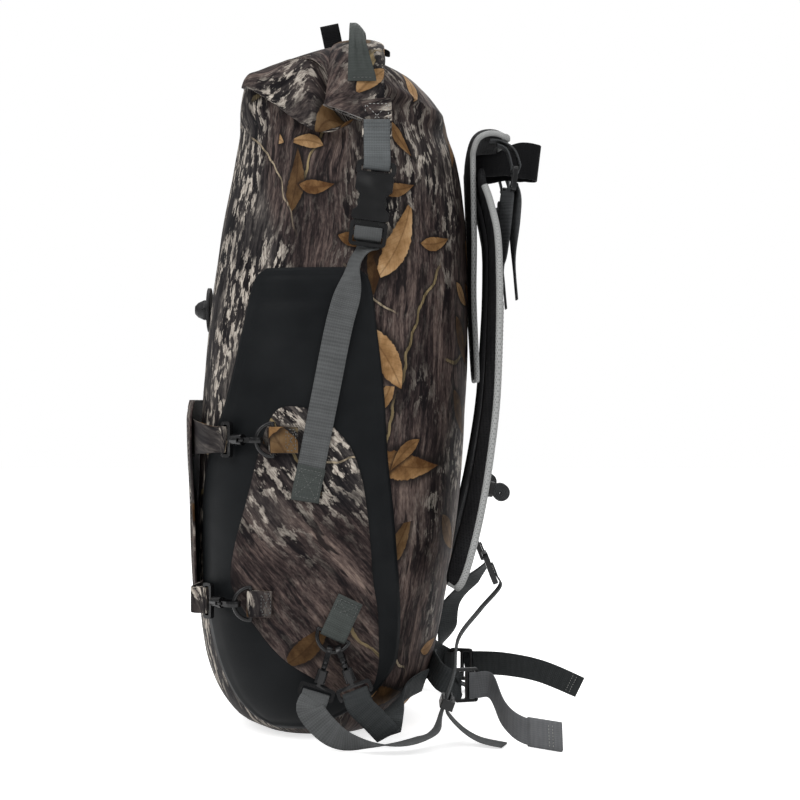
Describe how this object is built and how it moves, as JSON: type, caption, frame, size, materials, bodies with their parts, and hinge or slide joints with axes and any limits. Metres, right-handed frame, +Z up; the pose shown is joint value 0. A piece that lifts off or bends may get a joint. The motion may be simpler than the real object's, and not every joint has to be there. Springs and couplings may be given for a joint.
{
  "type": "tackle backpack",
  "caption": "Roll-top waterproof fishing backpack with camouflage shell, clip-on front panel, side-release buckles, swivel snap hooks and a padded shoulder harness.",
  "frame": {"origin": "on the underside of the base panel, below the middle of the bag", "axes": "+X to the wearer's right, +Y the way the wearer faces, +Z up"},
  "size_m": [0.4226, 0.3959, 0.6784],
  "materials": {
    "camo_fabric": "coated bark camouflage print",
    "black_fabric": "matte coated black",
    "binding": "woven pale grey tape",
    "grey_webbing": "woven grey webbing",
    "black_webbing": "woven black webbing",
    "dark_webbing": "woven dark grey webbing",
    "valve_rubber": "moulded black rubber",
    "stiffener": "plain strip",
    "black_metal": "satin black paint",
    "black_plastic": "moulded black"
  },
  "bodies": {
    "bag": {"bag_shell": "camo_fabric", "base_panel": "black_fabric", "side_panels": "black_fabric", "side_patches": "camo_fabric", "buckle_males": "black_plastic", "side_straps": "grey_webbing", "valve_flange": "valve_rubber", "front_panel": "camo_fabric", "panel_tabs": "camo_fabric", "panel_rings": "black_metal", "panel_ring_tabs": "camo_fabric", "panel_hook_eyes": "black_metal", "harness_rings": "black_metal", "harness_ring_tabs": "grey_webbing", "harness_hook_eyes": "black_metal", "yoke_pad": "black_fabric", "yoke_binding": "binding", "haul_loop": "black_webbing", "shoulder_pad_right": "black_fabric", "shoulder_pad_left": "black_fabric", "shoulder_bindings": "binding", "shoulder_webbing": "dark_webbing", "lifter_locks": "black_plastic", "lifter_webbing": "dark_webbing", "lower_locks": "black_plastic", "lower_webbing": "dark_webbing", "strap_keepers": "black_plastic", "stabiliser_straps": "black_webbing", "chest_sliders": "black_plastic", "chest_webbing": "dark_webbing", "belt_locks": "black_plastic", "belt_webbing": "dark_webbing"},
    "closure": {"roll_top": "camo_fabric", "roll_stiffener": "stiffener", "roll_end_tabs": "camo_fabric", "tab_webbing": "grey_webbing", "buckle_females": "black_plastic", "pull_tabs": "black_webbing"},
    "handle": {"grab_handle": "grey_webbing"},
    "valve_cap": {"valve_cap": "valve_rubber"},
    "squeeze_arm_right_rear": {"squeeze_arm_right_rear": "black_plastic"},
    "squeeze_arm_right_front": {"squeeze_arm_right_front": "black_plastic"},
    "squeeze_arm_left_rear": {"squeeze_arm_left_rear": "black_plastic"},
    "squeeze_arm_left_front": {"squeeze_arm_left_front": "black_plastic"},
    "panel_hook_upper_right": {"panel_hook_upper_right": "black_metal"},
    "panel_gate_upper_right": {"panel_gate_upper_right": "black_metal"},
    "panel_hook_upper_left": {"panel_hook_upper_left": "black_metal"},
    "panel_gate_upper_left": {"panel_gate_upper_left": "black_metal"},
    "panel_hook_lower_right": {"panel_hook_lower_right": "black_metal"},
    "panel_gate_lower_right": {"panel_gate_lower_right": "black_metal"},
    "panel_hook_lower_left": {"panel_hook_lower_left": "black_metal"},
    "panel_gate_lower_left": {"panel_gate_lower_left": "black_metal"},
    "harness_hook_rear_right": {"harness_hook_rear_right": "black_metal"},
    "harness_gate_rear_right": {"harness_gate_rear_right": "black_metal"},
    "harness_hook_rear_left": {"harness_hook_rear_left": "black_metal"},
    "harness_gate_rear_left": {"harness_gate_rear_left": "black_metal"},
    "harness_hook_front_right": {"harness_hook_front_right": "black_metal"},
    "harness_gate_front_right": {"harness_gate_front_right": "black_metal"},
    "harness_hook_front_left": {"harness_hook_front_left": "black_metal"},
    "harness_gate_front_left": {"harness_gate_front_left": "black_metal"}
  },
  "joints": [
    {"name": "roll_top_lift", "type": "slide", "parent": "bag", "child": "closure", "axis": [0, 0.1288, 0.9917], "range_m": [0, 0.15]},
    {"name": "handle_flop", "type": "hinge", "parent": "closure", "child": "handle", "pos_m": [0, 0.02816, 0.6035], "axis": [1, 0, 0], "range_deg": [-16, 8]},
    {"name": "valve_twist", "type": "hinge", "parent": "bag", "child": "valve_cap", "pos_m": [0, -0.12366, 0.40577], "axis": [0, -1, 0], "range_deg": [0, 90]},
    {"name": "squeeze_right_rear", "type": "hinge", "parent": "bag", "child": "squeeze_arm_right_rear", "pos_m": [0.16393, 0.0479, 0.47508], "axis": [1, 0, 0], "range_deg": [0, 6], "stiffness_Nm_per_rad": 0.02},
    {"name": "squeeze_right_front", "type": "hinge", "parent": "bag", "child": "squeeze_arm_right_front", "pos_m": [0.16393, 0.02717, 0.47778], "axis": [-1, 0, 0], "range_deg": [0, 6], "stiffness_Nm_per_rad": 0.02},
    {"name": "squeeze_left_rear", "type": "hinge", "parent": "bag", "child": "squeeze_arm_left_rear", "pos_m": [-0.16393, 0.0479, 0.47508], "axis": [1, 0, 0], "range_deg": [0, 6], "stiffness_Nm_per_rad": 0.02},
    {"name": "squeeze_left_front", "type": "hinge", "parent": "bag", "child": "squeeze_arm_left_front", "pos_m": [-0.16393, 0.02717, 0.47778], "axis": [-1, 0, 0], "range_deg": [0, 6], "stiffness_Nm_per_rad": 0.02},
    {"name": "panel_hook_upper_right_swivel", "type": "hinge", "parent": "bag", "child": "panel_hook_upper_right", "pos_m": [0.14007, -0.09693, 0.27984], "axis": [0.6392, 0.769, 0], "range_deg": [-12, 12]},
    {"name": "panel_gate_upper_right_open", "type": "hinge", "parent": "panel_hook_upper_right", "child": "panel_gate_upper_right", "pos_m": [0.16181, -0.07937, 0.27984], "axis": [0, 0, 1], "range_deg": [0, 26], "stiffness_Nm_per_rad": 0.002},
    {"name": "panel_hook_upper_left_swivel", "type": "hinge", "parent": "bag", "child": "panel_hook_upper_left", "pos_m": [-0.14007, -0.09693, 0.27984], "axis": [0.6392, -0.769, 0], "range_deg": [-12, 12]},
    {"name": "panel_gate_upper_left_open", "type": "hinge", "parent": "panel_hook_upper_left", "child": "panel_gate_upper_left", "pos_m": [-0.16181, -0.07937, 0.27984], "axis": [0, 0, -1], "range_deg": [0, 26], "stiffness_Nm_per_rad": 0.002},
    {"name": "panel_hook_lower_right_swivel", "type": "hinge", "parent": "bag", "child": "panel_hook_lower_right", "pos_m": [0.12825, -0.11466, 0.13102], "axis": [0.722, 0.6919, 0], "range_deg": [-12, 12]},
    {"name": "panel_gate_lower_right_open", "type": "hinge", "parent": "panel_hook_lower_right", "child": "panel_gate_lower_right", "pos_m": [0.15184, -0.09967, 0.13102], "axis": [0, 0, 1], "range_deg": [0, 26], "stiffness_Nm_per_rad": 0.002},
    {"name": "panel_hook_lower_left_swivel", "type": "hinge", "parent": "bag", "child": "panel_hook_lower_left", "pos_m": [-0.12825, -0.11466, 0.13102], "axis": [0.722, -0.6919, 0], "range_deg": [-12, 12]},
    {"name": "panel_gate_lower_left_open", "type": "hinge", "parent": "panel_hook_lower_left", "child": "panel_gate_lower_left", "pos_m": [-0.15184, -0.09967, 0.13102], "axis": [0, 0, -1], "range_deg": [0, 26], "stiffness_Nm_per_rad": 0.002},
    {"name": "harness_hook_rear_right_swivel", "type": "hinge", "parent": "bag", "child": "harness_hook_rear_right", "pos_m": [0.17324, 0.02579, 0.05108], "axis": [-0.1097, -0.3618, 0.9258], "range_deg": [-12, 12]},
    {"name": "harness_gate_rear_right_open", "type": "hinge", "parent": "harness_hook_rear_right", "child": "harness_gate_rear_right", "pos_m": [0.1757, 0.01566, 0.07701], "axis": [0, -0.9314, -0.364], "range_deg": [0, 26], "stiffness_Nm_per_rad": 0.002},
    {"name": "harness_hook_rear_left_swivel", "type": "hinge", "parent": "bag", "child": "harness_hook_rear_left", "pos_m": [-0.17324, 0.02579, 0.05108], "axis": [-0.1097, 0.3618, -0.9258], "range_deg": [-12, 12]},
    {"name": "harness_gate_rear_left_open", "type": "hinge", "parent": "harness_hook_rear_left", "child": "harness_gate_rear_left", "pos_m": [-0.1757, 0.01566, 0.07701], "axis": [0, 0.9314, 0.364], "range_deg": [0, 26], "stiffness_Nm_per_rad": 0.002},
    {"name": "harness_hook_front_right_swivel", "type": "hinge", "parent": "bag", "child": "harness_hook_front_right", "pos_m": [0.17589, -0.01108, 0.04999], "axis": [-0.1565, 0.2874, 0.9449], "range_deg": [-12, 12]},
    {"name": "harness_gate_front_right_open", "type": "hinge", "parent": "harness_hook_front_right", "child": "harness_gate_front_right", "pos_m": [0.17704, -0.00296, 0.07671], "axis": [0, -0.9567, 0.291], "range_deg": [0, 26], "stiffness_Nm_per_rad": 0.002},
    {"name": "harness_hook_front_left_swivel", "type": "hinge", "parent": "bag", "child": "harness_hook_front_left", "pos_m": [-0.17589, -0.01108, 0.04999], "axis": [-0.1565, -0.2874, -0.9449], "range_deg": [-12, 12]},
    {"name": "harness_gate_front_left_open", "type": "hinge", "parent": "harness_hook_front_left", "child": "harness_gate_front_left", "pos_m": [-0.17704, -0.00296, 0.07671], "axis": [0, 0.9567, -0.291], "range_deg": [0, 26], "stiffness_Nm_per_rad": 0.002}
  ]
}
